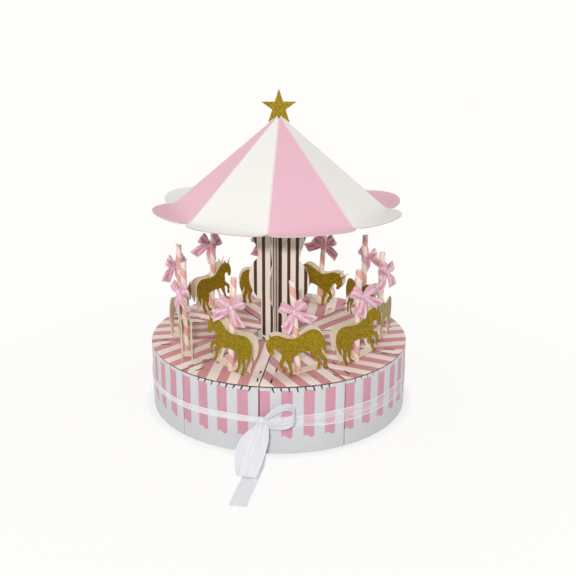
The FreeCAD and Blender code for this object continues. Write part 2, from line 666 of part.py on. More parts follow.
make_ribbon()
for index in range(int(size("sliceCount"))):
    number = f"{index + 1:02d}"
    make_tray(index, "slice_tray_" + number)
    make_lid(index, "slice_lid_" + number)
    make_unicorn(index, "unicorn_" + number)
    make_straw(index, "pole_straw_" + number)
    make_bow(index, "pole_bow_" + number)
make_column_panel("column_panel_a", size("columnTurn") + 90, True)
make_column_panel("column_panel_b", size("columnTurn"), False)
make_canopy("canopy")
make_star("star_topper")

doc.recompute()
for item in doc.Objects:
    if "Invalid" in item.State or "Error" in item.State:
        raise RuntimeError(f"{item.Label} failed: {item.State}")
os.makedirs("parts", exist_ok=True)
for piece in pieces:
    if piece.Shape.isNull() or not piece.Shape.isValid():
        raise RuntimeError(f"{piece.Label} has no valid shape")
    piece.Shape.exportStep(os.path.join("parts", piece.Label + ".step"))
    print(piece.Label, len(piece.Shape.Solids), round(piece.Shape.Volume, 1))
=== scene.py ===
import math

import bmesh
import bpy
from mathutils import Matrix, Vector


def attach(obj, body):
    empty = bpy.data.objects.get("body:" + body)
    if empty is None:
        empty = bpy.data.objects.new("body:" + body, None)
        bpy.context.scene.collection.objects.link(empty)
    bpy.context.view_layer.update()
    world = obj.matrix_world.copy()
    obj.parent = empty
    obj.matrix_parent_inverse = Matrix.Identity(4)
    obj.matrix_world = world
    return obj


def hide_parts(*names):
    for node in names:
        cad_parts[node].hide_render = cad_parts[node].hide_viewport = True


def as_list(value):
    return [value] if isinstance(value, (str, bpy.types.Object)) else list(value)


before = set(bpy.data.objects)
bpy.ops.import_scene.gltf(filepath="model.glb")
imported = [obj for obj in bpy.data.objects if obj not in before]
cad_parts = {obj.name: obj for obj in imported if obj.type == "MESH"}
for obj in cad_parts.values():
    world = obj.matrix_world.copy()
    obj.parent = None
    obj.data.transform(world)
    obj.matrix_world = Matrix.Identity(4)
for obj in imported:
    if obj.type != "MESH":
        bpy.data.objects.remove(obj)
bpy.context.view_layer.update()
mm = 0.001
uvName = "printUv"  # print coordinates of a piece, in millimetres or as a share of its width


# Modelling helpers

cleanUp = {"near": 0.002 * mm, "flat": 0.5}  # points this near merge, faces within these degrees join


def clearPick():
    if bpy.context.object and bpy.context.object.mode != "OBJECT":
        bpy.ops.object.mode_set(mode="OBJECT")
    bpy.ops.object.select_all(action="DESELECT")


def makeActive(piece, mode="OBJECT"):
    clearPick()
    piece.select_set(True)
    bpy.context.view_layer.objects.active = piece
    bpy.ops.object.mode_set(mode=mode)


def addShape(name, operator, **settings):
    clearPick()
    operator(**settings)
    piece = bpy.context.object
    piece.name = piece.data.name = name
    bpy.ops.object.transform_apply(location=True, rotation=True, scale=True)
    return piece


def pick(piece, kind, test):  # the piece is in edit mode
    bpy.ops.mesh.select_mode(type=kind)
    bpy.ops.mesh.select_all(action="DESELECT")
    net = bmesh.from_edit_mesh(piece.data)
    items = {"EDGE": net.edges, "FACE": net.faces}[kind]
    for item in [item for item in items if test(item)]:
        item.select_set(True)
    bmesh.update_edit_mesh(piece.data)


def applied(piece, kind, **settings):
    makeActive(piece)
    change = piece.modifiers.new(kind.lower(), kind)
    for key, value in settings.items():
        setattr(change, key, value)
    bpy.ops.object.modifier_apply(modifier=change.name)


def softened(piece, width, sharp):  # rounds the edges that turn by more than the angle sharp
    applied(piece, "BEVEL", width=width, segments=2, limit_method="ANGLE", angle_limit=math.radians(sharp))


def joined(name, parts):
    makeActive(parts[0])
    for part in parts:
        part.select_set(True)
    bpy.ops.object.join()
    parts[0].name = parts[0].data.name = name
    return parts[0]


def smoothed(piece, angle):
    makeActive(piece)
    bpy.ops.object.shade_smooth_by_angle(angle=math.radians(angle))


def reshaped(piece, rule):  # rule(point) gives the point's new place
    makeActive(piece, "EDIT")
    net = bmesh.from_edit_mesh(piece.data)
    for point in net.verts:
        point.co = rule(point.co.copy())
    bmesh.update_edit_mesh(piece.data)
    clearPick()


def shapedGrid(name, steps, rule, length=1):  # rule(s, t) places it, s along and t across, from 0 to 1
    piece = addShape(name, bpy.ops.mesh.primitive_grid_add, x_subdivisions=steps[0], y_subdivisions=steps[1],
                     size=1)
    reshaped(piece, lambda spot: rule(spot.x + 0.5, spot.y + 0.5))
    layer = piece.data.uv_layers.active
    layer.name = uvName
    for corner in layer.data:  # millimetres along the sheet, and the share across it
        corner.uv = (corner.uv[0] * length / mm, corner.uv[1])
    return piece


def layUv(piece, rule):  # rule(point, face) gives the print coordinates
    mesh = piece.data
    layer = mesh.uv_layers.active or mesh.uv_layers.new()
    layer.name = uvName
    for face in mesh.polygons:
        for corner in face.loop_indices:
            spot = mesh.vertices[mesh.loops[corner].vertex_index].co
            layer.data[corner].uv = rule(spot, face)


def paint(piece, materials, chooser=None):  # chooser(face) gives the index of the material
    piece.data.materials.clear()
    for material in materials:
        piece.data.materials.append(material)
    for face in piece.data.polygons:
        face.material_index = chooser(face) if chooser else 0


def copied(piece, name, place):
    copy = piece.copy()
    copy.data = piece.data.copy()
    copy.name = copy.data.name = name
    copy.data.transform(place)
    bpy.context.scene.collection.objects.link(copy)
    return copy


def dressedCopy(node, name):  # the CAD piece's own outline, with its loose triangles merged
    piece = copied(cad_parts[node], name, Matrix.Identity(4))
    for key in list(piece.keys()):
        del piece[key]
    piece.parent = None
    makeActive(piece, "EDIT")
    bpy.ops.mesh.select_all(action="SELECT")
    bpy.ops.mesh.remove_doubles(threshold=cleanUp["near"])
    bpy.ops.mesh.dissolve_limited(angle_limit=math.radians(cleanUp["flat"]))
    makeActive(piece)
    bpy.ops.mesh.customdata_custom_splitnormals_clear()
    bpy.ops.object.shade_flat()
    return piece


def onPath(points, share):  # a smooth curve through the points
    reach = share * (len(points) - 1)
    index = min(int(reach), len(points) - 2)
    part = reach - index
    before, start, end, after = [Vector(points[min(max(index + step, 0), len(points) - 1)])
                                 for step in (-1, 0, 1, 2)]
    slopeStart = (end - before) / 2
    slopeEnd = (after - start) / 2
    return (start * (2 * part ** 3 - 3 * part ** 2 + 1) + slopeStart * (part ** 3 - 2 * part ** 2 + part)
            + end * (3 * part ** 2 - 2 * part ** 3) + slopeEnd * (part ** 3 - part ** 2))


def evenSteps(points, steps):  # spots at even lengths along that curve, and its length
    count = 8 * steps  # fine enough to measure the curve by
    fine = [onPath(points, step / count) for step in range(count + 1)]
    reach = [0]
    for first, second in zip(fine, fine[1:]):
        reach.append(reach[-1] + (second - first).xyz.length)
    spots = []
    index = 0
    for step in range(steps + 1):
        goal = reach[-1] * step / steps
        while index < len(fine) - 2 and reach[index + 1] < goal:
            index += 1
        part = (goal - reach[index]) / (reach[index + 1] - reach[index])
        spots.append(fine[index].lerp(fine[index + 1], part))
    return spots, reach[-1]


def eased(share):
    share = min(max(share, 0), 1)
    return share * share * (3 - 2 * share)


def between(rows, place):  # each row is a place and its values, eased from one row to the next
    for start, end in zip(rows, rows[1:]):
        if place <= end[0]:
            part = eased((place - start[0]) / (end[0] - start[0]))
            return [first + (second - first) * part for first, second in zip(start[1:], end[1:])]
    return rows[-1][1:]


def seat(piece, body, node):
    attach(piece, body)
    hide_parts(node)


# Material helpers

# size and depth of each sheet's fibres, drawn coarse, so that they show
tooth = {"coated": (0.9 * mm, 0.05 * mm), "bare": (0.7 * mm, 0.09 * mm), "straw": (0.6 * mm, 0.04 * mm),
         "detail": 4.0, "roughness": 0.6, "bump": 0.25, "uneven": 0.06}


def linear(code):
    parts = [int(code[start:start + 2], 16) / 255 for start in (1, 3, 5)]
    return [part / 12.92 if part <= 0.04045 else ((part + 0.055) / 1.055) ** 2.4 for part in parts] + [1]


def addNode(tree, kind, inputs=None, **settings):  # an input is a value, a socket or a node's first output
    node = tree.nodes.new(kind)
    for key, value in settings.items():
        setattr(node, key, value)
    for key, value in (inputs or {}).items():
        if isinstance(value, bpy.types.Node):
            value = value.outputs[0]
        if isinstance(value, bpy.types.NodeSocket):
            tree.links.new(value, node.inputs[key])
        else:
            node.inputs[key].default_value = value
    return node


def newMaterial(name, sockets):
    material = bpy.data.materials.new(name)
    material.use_nodes = True
    tree = material.node_tree
    shader = tree.nodes["Principled BSDF"]
    for socket, value in sockets.items():
        shader.inputs[socket].default_value = value
    return material, tree, shader


def printAxes(tree):  # the piece's print coordinates, axis by axis
    uv = addNode(tree, "ShaderNodeUVMap", uv_map=uvName)
    return addNode(tree, "ShaderNodeSeparateXYZ", {0: uv})


def stripes(tree, along, period, share, shift=0.0):  # 1 on the first share of a period, and the place in it
    turns = addNode(tree, "ShaderNodeMath", {0: along, 1: 1 / period, 2: shift}, operation="MULTIPLY_ADD")
    part = addNode(tree, "ShaderNodeMath", {0: turns}, operation="FRACT")
    return addNode(tree, "ShaderNodeMath", {0: part, 1: share}, operation="LESS_THAN"), part


def paperTooth(tree, shader, sheet):  # fibres of the sheet, as a fine uneven bump
    size, depth = tooth[sheet]
    spot = addNode(tree, "ShaderNodeTexCoord")
    fibre = addNode(tree, "ShaderNodeTexNoise", {"Vector": spot.outputs["Object"], "Scale": 1 / size,
                                                "Detail": tooth["detail"], "Roughness": tooth["roughness"]})
    bump = addNode(tree, "ShaderNodeBump", {"Height": fibre, "Strength": tooth["bump"], "Distance": depth})
    tree.links.new(bump.outputs["Normal"], shader.inputs["Normal"])
    return fibre


def twoInks(tree, shader, mask, ground, ink, sheet):  # ink where the mask is 1, mottled by the fibres
    fibre = paperTooth(tree, shader, sheet)
    inks = addNode(tree, "ShaderNodeMix", {0: mask, 6: linear(ground), 7: linear(ink)}, data_type="RGBA")
    cloud = addNode(tree, "ShaderNodeMapRange", {"Value": fibre, "To Min": 1 - tooth["uneven"] / 2,
                                                "To Max": 1 + tooth["uneven"] / 2})
    tone = addNode(tree, "ShaderNodeVectorMath", {0: inks.outputs[2], "Scale": cloud}, operation="SCALE")
    tree.links.new(tone.outputs[0], shader.inputs["Base Color"])


def weave(tree, shader, cloth):  # weft threads across a ribbon, drawn coarse, so that they show
    along = printAxes(tree).outputs["X"]
    rate = 2 * math.pi / cloth["thread"]
    weft = addNode(tree, "ShaderNodeMath", {0: along, 1: rate}, operation="MULTIPLY")
    weft = addNode(tree, "ShaderNodeMath", {0: weft}, operation="SINE")
    bump = addNode(tree, "ShaderNodeBump", {"Height": weft, "Strength": cloth["threadBump"],
                                           "Distance": cloth["threadDeep"]})
    tree.links.new(bump.outputs["Normal"], shader.inputs["Normal"])


def streaks(tree, cloth, low, high):  # soft streaks along a ribbon, between the two values
    uv = addNode(tree, "ShaderNodeUVMap", uv_map=uvName)
    scale = (1 / cloth["streakLong"], 1 / cloth["streakWide"], 1)
    drawn = addNode(tree, "ShaderNodeMapping", {"Vector": uv, "Scale": scale})
    streak = addNode(tree, "ShaderNodeTexNoise", {"Vector": drawn, "Scale": 1.0, "Detail": 1.0})
    start, end = cloth["streakRange"]
    return addNode(tree, "ShaderNodeMapRange", {"Value": streak, "From Min": start, "From Max": end,
                                               "To Min": low, "To Max": high})


# Ring of boxes: sizes that the pieces share, in metres and degrees

ring = {"count": 10, "radius": 135 * mm, "hole": 24 * mm, "height": 70 * mm, "card": 1 * mm,
        "seam": 1.2 * mm, "firstSeam": -8, "rimSteps": 20, "strawCircle": 107 * mm}
slicePitch = 360 / ring["count"]
sliceNumbers = [f"{index + 1:02d}" for index in range(ring["count"])]


def ringTurn(azimuth):  # azimuth 0 faces -Y and grows towards +X; a piece is modelled along +X
    return Matrix.Rotation(math.radians(azimuth - 90), 4, "Z")


def sliceTurn(index):
    return ringTurn(ring["firstSeam"] + (index + 0.5) * slicePitch)


def figurePlace(index):  # on the lid, at the foot of the straw
    return sliceTurn(index) @ Matrix.Translation((ring["strawCircle"], 0, ring["height"]))


# Camera, light and stage

view = {"place": (0, -0.8985, 0.4276), "pitch": 71.18, "lens": 56.25, "sensor": 36, "shift": 0.0158}
studio = {"world": 0.22, "white": "#FEFDFB", "aim": (0, 0, 0.15),
          "lamps": {"key": (7.2, 0.06, (-0.07, -1.12, 0.61)),  # watts, size and place
                    "left": (3.6, 0.5, (-0.81, 0.14, 0.72)),
                    "right": (3.0, 0.5, (0.81, 0.14, 0.72))}}
sweep = {"size": 8, "drop": 0.2 * mm, "colour": "#ECECEA", "foot": 0.1355, "near": 0.146, "far": 0.4,
         "footGlow": 0.6, "nearGlow": 0.94}


def makeCamera():
    clearPick()
    bpy.ops.object.camera_add(location=view["place"], rotation=(math.radians(view["pitch"]), 0, 0))
    camera = bpy.context.object
    camera.data.sensor_width = view["sensor"]
    camera.data.lens = view["lens"]
    camera.data.shift_x = view["shift"]
    bpy.context.scene.camera = camera


def seenDirectly(tree):  # 1 where the eye meets the backdrop straight, in a mirror or through glass
    ray = addNode(tree, "ShaderNodeLightPath")
    seen = ray.outputs["Is Camera Ray"]
    for kind in ("Is Glossy Ray", "Is Transmission Ray"):
        seen = addNode(tree, "ShaderNodeMath", {0: seen, 1: ray.outputs[kind]}, operation="MAXIMUM")
    return seen


def makeLight():
    scene = bpy.context.scene
    scene.view_settings.view_transform = "Standard"
    scene.world = bpy.data.worlds.new("studio")
    scene.world.use_nodes = True
    tree = scene.world.node_tree
    strength = addNode(tree, "ShaderNodeMapRange", {"Value": seenDirectly(tree), "To Min": studio["world"],
                                                   "To Max": 1.0})
    backdrop = tree.nodes["Background"]
    backdrop.inputs["Color"].default_value = linear(studio["white"])
    tree.links.new(strength.outputs[0], backdrop.inputs["Strength"])
    for name, (power, size, place) in studio["lamps"].items():
        clearPick()
        bpy.ops.object.light_add(type="AREA", location=place)
        lamp = bpy.context.object
        lamp.name = name
        lamp.data.energy = power
        lamp.data.size = size
        aim = Vector(studio["aim"]) - lamp.location
        lamp.rotation_euler = aim.to_track_quat("-Z", "Y").to_euler()


def sweepPaper():  # matt paper that keeps the shadow, white further out; at the boxes' foot less glow adds painted shade
    material, tree, shader = newMaterial("white paper sweep", {"Base Color": linear(sweep["colour"]),
                                                               "Roughness": 0.9})
    spot = addNode(tree, "ShaderNodeTexCoord")
    reach = addNode(tree, "ShaderNodeVectorMath", {0: spot.outputs["Object"]}, operation="LENGTH")
    share = seenDirectly(tree)
    # near the foot the real shadow shows, and the lower glow also paints a faint shade ring there
    for start, end, least in (("foot", "near", "footGlow"), ("near", "far", "nearGlow")):
        fade = addNode(tree, "ShaderNodeMapRange", {"Value": reach.outputs["Value"],
                                                   "From Min": sweep[start], "From Max": sweep[end],
                                                   "To Min": sweep[least], "To Max": 1.0})
        share = addNode(tree, "ShaderNodeMath", {0: share, 1: fade}, operation="MULTIPLY")
    glow = addNode(tree, "ShaderNodeEmission", {"Color": linear(studio["white"]), "Strength": 1.0})
    blend = addNode(tree, "ShaderNodeMixShader", {0: share, 1: shader, 2: glow})
    tree.links.new(blend.outputs[0], tree.nodes["Material Output"].inputs["Surface"])
    return material


def makeFloor():
    floor = addShape("floor", bpy.ops.mesh.primitive_plane_add, size=sweep["size"],
                     location=(0, 0, -sweep["drop"]))
    paint(floor, [sweepPaper()])


makeCamera()
makeLight()
makeFloor()
print("stage: camera, lamps and floor")


# Box card: coated boxboard, offset printed, with flat ink and a soft sheen; sizes in millimetres

boxPrint = {"pink": "#D89CAC", "white": "#DBDBDF", "stripes": 4, "pinkShare": 0.5, "topHeight": 65.6,
            "endHeight": 17.5, "endWave": 1.4, "endWaves": 2,
            "lidPink": "#D6959A", "lidWhite": "#FCEDE4", "lidPeriod": 21.0}
bareBoard = {"white": ("#F3EFE9", "#E7E2DB"), "cream": ("#F1E6D2", "#E2D4BC"),
             "core": ("#6B5449", "#4E3B33")}
wallArc = math.radians(slicePitch) * ring["radius"] / mm


def stripedWallCard():
    material, tree, shader = newMaterial("coated boxboard with printed wall stripes", {"Roughness": 0.48})
    axes = printAxes(tree)
    mask, part = stripes(tree, axes.outputs["X"], wallArc / boxPrint["stripes"], boxPrint["pinkShare"])
    wave = addNode(tree, "ShaderNodeMath", {0: part, 1: 2 * math.pi * boxPrint["endWaves"]},
                   operation="MULTIPLY")
    wave = addNode(tree, "ShaderNodeMath", {0: wave}, operation="SINE")
    end = addNode(tree, "ShaderNodeMath", {0: wave, 1: boxPrint["endWave"], 2: boxPrint["endHeight"]},
                  operation="MULTIPLY_ADD")
    above = addNode(tree, "ShaderNodeMath", {0: axes.outputs["Y"], 1: end}, operation="GREATER_THAN")
    mask = addNode(tree, "ShaderNodeMath", {0: mask, 1: above}, operation="MULTIPLY")  # wavy lower ends
    below = addNode(tree, "ShaderNodeMath", {0: axes.outputs["Y"], 1: boxPrint["topHeight"]},
                    operation="LESS_THAN")
    mask = addNode(tree, "ShaderNodeMath", {0: mask, 1: below}, operation="MULTIPLY")  # border under the lid
    twoInks(tree, shader, mask, boxPrint["white"], boxPrint["pink"], "coated")
    return material


def stripedLidCard():
    material, tree, shader = newMaterial("coated boxboard with slanting lid stripes", {"Roughness": 0.5})
    uv = addNode(tree, "ShaderNodeUVMap", uv_map=uvName)
    slant = (0, 0, math.radians(-slicePitch / 2))
    turned = addNode(tree, "ShaderNodeMapping", {"Vector": uv, "Rotation": slant})
    axes = addNode(tree, "ShaderNodeSeparateXYZ", {0: turned})
    mask = stripes(tree, axes.outputs["Y"], boxPrint["lidPeriod"], boxPrint["pinkShare"])[0]
    twoInks(tree, shader, mask, boxPrint["lidWhite"], boxPrint["lidPink"], "coated")
    return material


def plainCard(name, light, dark, roughness=0.6):  # uncoated board: matt, with more tooth and a faint mottle
    material, tree, shader = newMaterial(name, {"Roughness": roughness})
    fibre = paperTooth(tree, shader, "bare")
    tone = addNode(tree, "ShaderNodeMix", {0: fibre, 6: linear(dark), 7: linear(light)}, data_type="RGBA")
    tree.links.new(tone.outputs[2], shader.inputs["Base Color"])
    return material


wallCard = stripedWallCard()
lidCard = stripedLidCard()
boardWhite = plainCard("white uncoated board", *bareBoard["white"])
boardCream = plainCard("cream uncoated board", *bareBoard["cream"])
# board core colour, made dark to paint the shade in the seams between lids and inside the slits
boardCoreShade = plainCard("brown board core with painted shade", *bareBoard["core"])
print("materials: box card")


# Trays and lids

tray = {"fold": 0.35 * mm, "sharp": 40, "smooth": 30, "rimGap": 0.5 * mm, "near": 0.1 * mm,
        "notches": 8, "notchPitch": 7.8 * mm, "notchWide": 2.0 * mm, "notchDeep": 5.2 * mm,
        "notchReach": 8 * mm, "notchTaper": 0.5, "deepUneven": 0.15, "deepBeat": 2.4, "slantUneven": 0.3,
        "slantBeat": 1.3, "notchSlant": [16, 12, -10, 14, -10, 12, -14, 10, -16, -24],
        "notchShift": [-2.5, -4, 3, 0, 5, -3, 0, 4, -5, 7]}
lid = {"fold": 0.2 * mm, "sharp": 40, "smooth": 30, "hole": 3.2 * mm, "holeSteps": 32, "cutDeep": 10 * mm,
       "flapStart": 48 * mm, "flapEnd": 112 * mm, "flapDeep": 7 * mm, "flapGap": 0.9 * mm,
       "flapRound": 3 * mm, "slitWide": 1.5 * mm,
       "slits": [(-1, 96, 11, 8), (-1, 121, 10, 10), (1, 103, 3.4, 6), (1, 121, 3.4, 7)],
       "stripeShift": [4.0, 8.5, 2.0, 6.0, 1.0, 9.0, 4.5, 7.5, 2.5, 0.0]}
trayTop = ring["height"] - ring["card"] - tray["rimGap"]
lidBottom = ring["height"] - ring["card"]
halfSlice = math.radians(slicePitch / 2)
sliceSides = [Vector((math.sin(halfSlice), -side * math.cos(halfSlice), 0)) for side in (1, -1)]


def wedgeBlock(name, bottom, top):  # one slice of the ring, left in edit mode
    piece = addShape(name, bpy.ops.mesh.primitive_cylinder_add, vertices=ring["rimSteps"] * ring["count"],
                     radius=ring["radius"], depth=top - bottom, location=(0, 0, (top + bottom) / 2))
    makeActive(piece, "EDIT")
    cuts = [(inward, ring["seam"] / 2) for inward in sliceSides] + [(Vector((1, 0, 0)), ring["hole"])]
    for inward, inset in cuts:
        bpy.ops.mesh.select_all(action="SELECT")
        bpy.ops.mesh.bisect(plane_co=inward * inset, plane_no=-inward, clear_outer=True, use_fill=True)
    return piece


def snips(index):  # cutters for the nicks along the glued rim, under the lid, each a little different
    cutters = []
    for step in range(tray["notches"]):
        across = (step - (tray["notches"] - 1) / 2) * tray["notchPitch"] + tray["notchShift"][index] * mm
        shallower = tray["deepUneven"] * (1 - math.cos(tray["deepBeat"] * step + index))
        deep = tray["notchDeep"] * (1 - shallower)
        steeper = tray["slantUneven"] * math.cos(tray["slantBeat"] * step + 2 * index)
        slant = math.radians(tray["notchSlant"][index]) * (1 + steeper)
        nick = addShape("snip", bpy.ops.mesh.primitive_cone_add, vertices=4, radius1=tray["notchTaper"],
                        radius2=1, depth=2, location=(0, 0, 0), rotation=(0, 0, math.radians(45)))
        size = (tray["notchReach"], tray["notchWide"] / math.sqrt(2), deep, 1)
        nick.data.transform(Matrix.Rotation(across / ring["radius"], 4, "Z")
                            @ Matrix.Translation((ring["radius"], 0, trayTop))
                            @ Matrix.Rotation(slant, 4, "X") @ Matrix.Diagonal(size))
        cutters.append(nick)
    return joined("snips", cutters)


def makeTrays():
    box = wedgeBlock("boxTray", 0, trayTop)
    pick(box, "FACE", lambda face: face.normal.z > 0.9)
    bpy.ops.mesh.delete(type="FACE")  # open at the top
    applied(box, "SOLIDIFY", thickness=ring["card"], offset=-1, use_even_offset=True)
    softened(box, tray["fold"], tray["sharp"])
    curved = ring["radius"] - ring["card"] / 2

    def wallPrint(spot, face):
        if face.center.xy.length > curved:
            return (math.atan2(spot.y, spot.x) * ring["radius"] / mm + wallArc / 2, spot.z / mm)
        return (spot.xy.length / mm, spot.z / mm)

    def printed(face):  # the outer faces carry the print, the inside and the rims are bare board
        onSide = any(abs(face.center.dot(inward) - ring["seam"] / 2) < tray["near"] for inward in sliceSides)
        return 0 if face.center.xy.length > curved and face.normal.z < 0.5 or onSide else 1

    for index, number in enumerate(sliceNumbers):
        piece = copied(box, "boxTray" + number, Matrix.Identity(4))
        cutter = snips(index)
        applied(piece, "BOOLEAN", object=cutter, operation="DIFFERENCE", solver="EXACT")
        bpy.data.objects.remove(cutter)
        layUv(piece, wallPrint)
        paint(piece, [wallCard, boardWhite], printed)
        piece.data.transform(sliceTurn(index))
        smoothed(piece, tray["smooth"])
        seat(piece, "slice_" + number, "slice_tray_" + number)
    bpy.data.objects.remove(box)
    print("trays:", len(sliceNumbers))


def lidPanel():  # with the straw's hole and four slits
    panel = wedgeBlock("boxLid", lidBottom, ring["height"])
    cutters = [addShape("punch", bpy.ops.mesh.primitive_cylinder_add, vertices=lid["holeSteps"],
                        radius=lid["hole"], depth=lid["cutDeep"],
                        location=(ring["strawCircle"], 0, ring["height"]))]
    for side, reach, inset, long in lid["slits"]:  # side edge, then mm out, in from that edge and long
        slit = addShape("slit", bpy.ops.mesh.primitive_cube_add, size=1)
        slit.data.transform(Matrix.Rotation(side * halfSlice, 4, "Z")
                            @ Matrix.Translation((reach * mm, -side * inset * mm, ring["height"]))
                            @ Matrix.Diagonal((long * mm, lid["slitWide"], lid["cutDeep"], 1)))
        cutters.append(slit)
    punch = joined("punch", cutters)
    applied(panel, "BOOLEAN", object=punch, operation="DIFFERENCE", solver="EXACT")
    bpy.data.objects.remove(punch)
    return panel


def lidFlap():  # tucks in along one straight side
    middle = Vector(((lid["flapStart"] + lid["flapEnd"]) / 2,
                     ring["seam"] / 2 + ring["card"] + lid["flapGap"] + ring["card"] / 2,
                     lidBottom - lid["flapDeep"] / 2))
    size = (lid["flapEnd"] - lid["flapStart"], ring["card"], lid["flapDeep"], 1)
    flap = addShape("flap", bpy.ops.mesh.primitive_cube_add, size=1)
    flap.data.transform(Matrix.Rotation(-halfSlice, 4, "Z") @ Matrix.Translation(middle)
                        @ Matrix.Diagonal(size))
    length = Vector((math.cos(halfSlice), -math.sin(halfSlice), 0))

    def lowCorner(edge):
        first, second = [point.co for point in edge.verts]
        return max(first.z, second.z) < middle.z and abs((first - second).normalized().dot(length)) < 0.5

    makeActive(flap, "EDIT")
    pick(flap, "EDGE", lowCorner)
    bpy.ops.mesh.bevel(offset=lid["flapRound"], segments=4)  # rounded corners let the flap find its way in
    return flap


def makeLids():
    whole = joined("boxLid", [lidPanel(), lidFlap()])
    softened(whole, lid["fold"], lid["sharp"])

    def board(face):  # print on top, white below and on the flap; the dark core at edges and in slits is painted shade
        if face.normal.z > 0.5:
            return 0
        fromStraw = (face.center.xy - Vector((ring["strawCircle"], 0))).length
        cut = abs(face.normal.z) < 0.5 and face.center.z > lidBottom
        return 2 if cut and fromStraw > lid["hole"] + ring["card"] else 1

    for index, number in enumerate(sliceNumbers):
        piece = copied(whole, "boxLid" + number, Matrix.Identity(4))
        shift = lid["stripeShift"][index]
        layUv(piece, lambda spot, face: (spot.x / mm, spot.y / mm + shift))
        paint(piece, [lidCard, boardWhite, boardCoreShade], board)
        piece.data.transform(sliceTurn(index))
        smoothed(piece, lid["smooth"])
        seat(piece, "lid_" + number, "slice_lid_" + number)
    bpy.data.objects.remove(whole)
    print("lids:", len(sliceNumbers))


makeTrays()
makeLids()


# Gold glitter card: flakes bound on card, each a small mirror at its own tilt, drawn coarse to show

glitter = {"flake": 0.6 * mm, "tilt": 0.5, "dark": "#765E04", "mid": "#92770A", "midAt": 0.55,
           "bright": "#BCA22A"}


def goldGlitterCard():
    material, tree, shader = newMaterial("gold glitter card", {"Metallic": 0.3, "Roughness": 0.42,
                                                               "Specular IOR Level": 0.2})
    spot = addNode(tree, "ShaderNodeTexCoord")
    flakes = addNode(tree, "ShaderNodeTexVoronoi", {"Vector": spot.outputs["Object"],
                                                   "Scale": 1 / glitter["flake"]})
    pickOne = addNode(tree, "ShaderNodeSeparateColor", {0: flakes.outputs["Color"]})
    tint = addNode(tree, "ShaderNodeValToRGB", {0: pickOne})
    ramp = tint.color_ramp
    ramp.elements[0].color = linear(glitter["dark"])
    ramp.elements[1].color = linear(glitter["bright"])
    middle = ramp.elements.new(glitter["midAt"])
    middle.color = linear(glitter["mid"])
    tree.links.new(tint.outputs[0], shader.inputs["Base Color"])
    lean = addNode(tree, "ShaderNodeVectorMath", {0: flakes.outputs["Color"], 1: (0.5, 0.5, 0.5)},
                   operation="SUBTRACT")
    lean = addNode(tree, "ShaderNodeVectorMath", {0: lean, "Scale": glitter["tilt"]}, operation="SCALE")
    surface = addNode(tree, "ShaderNodeNewGeometry")
    facet = addNode(tree, "ShaderNodeVectorMath", {0: surface.outputs["Normal"], 1: lean}, operation="ADD")
    facet = addNode(tree, "ShaderNodeVectorMath", {0: facet}, operation="NORMALIZE")
    tree.links.new(facet.outputs[0], shader.inputs["Normal"])
    return material


goldGlitter = goldGlitterCard()


# Unicorns and star: cut from glitter card, with cream backs and edges

unicorn = {"gap": 9 * mm, "card": 0.9 * mm, "yaw": [-6, -16, -12, 0, 0, 0, 0, 0, -20, -8]}


def makeUnicorns():
    outer = unicorn["gap"] / 2 + 0.75 * unicorn["card"]  # past the inner faces, short of the outer ones
    for index, number in enumerate(sliceNumbers):
        piece = dressedCopy("unicorn_" + number, "unicornPair" + number)
        turned = figurePlace(index) @ Matrix.Rotation(math.radians(unicorn["yaw"][index]), 4, "Z")
        out = turned.to_3x3() @ Vector((1, 0, 0))
        foot = turned.translation

        def glittered(face):  # the two outer faces glitter
            return 0 if abs(face.normal.dot(out)) > 0.9 and abs((face.center - foot).dot(out)) > outer else 1

        paint(piece, [goldGlitter, boardCream], glittered)
        seat(piece, "lid_" + number, "unicorn_" + number)
    print("unicorns:", len(sliceNumbers))


def makeStar():
    piece = dressedCopy("star_topper", "starTopper")
    paint(piece, [goldGlitter, boardCream], lambda face: 0 if abs(face.normal.y) > 0.9 else 1)
    seat(piece, "roof", "star_topper")
    print("star")


makeUnicorns()
makeStar()


# Straws: paper wound in a spiral, cream with a salmon band, its pitch in millimetres

straw = {"radius": 3 * mm, "wall": 0.6 * mm, "rise": 95 * mm, "depth": 12 * mm, "edge": 0.15 * mm,
         "sharp": 50, "smooth": 40, "steps": 32, "pitch": 20.0, "band": 0.48, "cream": "#FAE8DC",
         "salmon": "#EDB2A6", "lean": [-4, 0, 0, 0, -4, 0, -3, 0, 0, 3], "turn": 1.7}


def strawPaper():  # matt paper, with a flat printed band that climbs round the tube
    material, tree, shader = newMaterial("spiral wound straw paper", {"Roughness": 0.55})
    axes = printAxes(tree)
    mask = stripes(tree, axes.outputs["Y"], straw["pitch"], straw["band"], axes.outputs["X"])[0]
    twoInks(tree, shader, mask, straw["cream"], straw["salmon"], "straw")
    return material


def strawPlace(index):
    return figurePlace(index) @ Matrix.Rotation(math.radians(-straw["lean"][index]), 4, "X")


